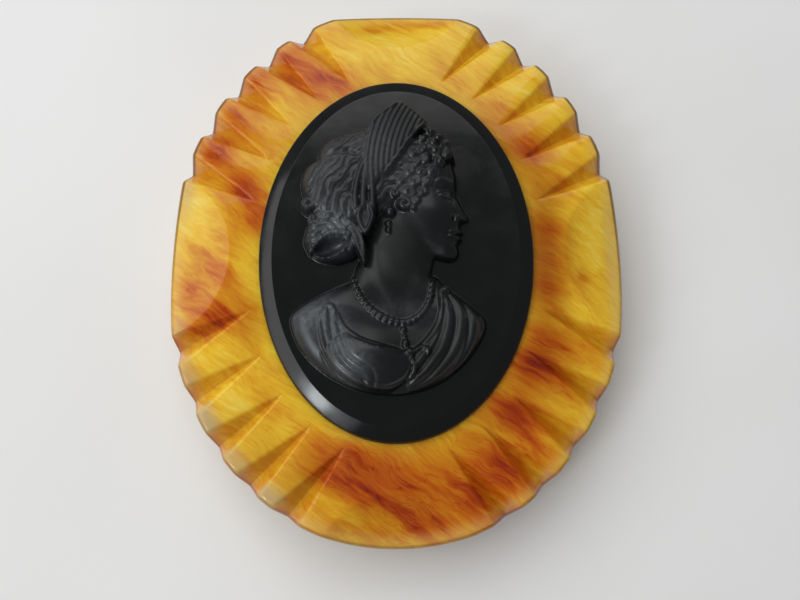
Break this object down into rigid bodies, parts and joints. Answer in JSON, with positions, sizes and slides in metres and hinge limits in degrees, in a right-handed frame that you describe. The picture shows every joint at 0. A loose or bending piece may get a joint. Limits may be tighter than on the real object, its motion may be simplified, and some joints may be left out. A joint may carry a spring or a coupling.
{
  "type": "brooch",
  "caption": "Oval carved amber-coloured plastic brooch with a black relief cameo on its face and a hinged pin with a turning safety catch on its back.",
  "frame": {"origin": "under the middle of the plaque, level with the lowest faces of the hinge ears, the brooch lying face up", "axes": "+Z out of the face, +Y towards the top of the brooch as it is worn, +X towards its right as seen from the front, the catch end"},
  "size_m": [0.051, 0.0624, 0.0141],
  "materials": {
    "amber": "polished, marbled and partly see-through",
    "black": "moulded gloss",
    "brass": "satin, lightly tarnished",
    "steel": "polished nickel plate"
  },
  "bodies": {
    "brooch": {"amber_plaque": "amber", "black_cameo": "black", "cameo_pin_upper": "brass", "cameo_pin_lower": "brass", "bar_plate": "brass", "bar_screw_left": "brass", "bar_screw_right": "brass", "hinge_joint": "brass", "hinge_rivet": "brass", "catch_body": "brass"},
    "pin": {"pin_stem": "steel"},
    "catch": {"catch_rotor": "brass"}
  },
  "joints": [
    {"name": "pin_swing", "type": "hinge", "parent": "brooch", "child": "pin", "pos_m": [-0.016, 0.009, 0.0019], "axis": [0, 1, 0], "range_deg": [0, 100]},
    {"name": "catch_turn", "type": "hinge", "parent": "brooch", "child": "catch", "pos_m": [0.016, 0.009, 0.0019], "axis": [1, 0, 0], "range_deg": [0, 120]}
  ]
}
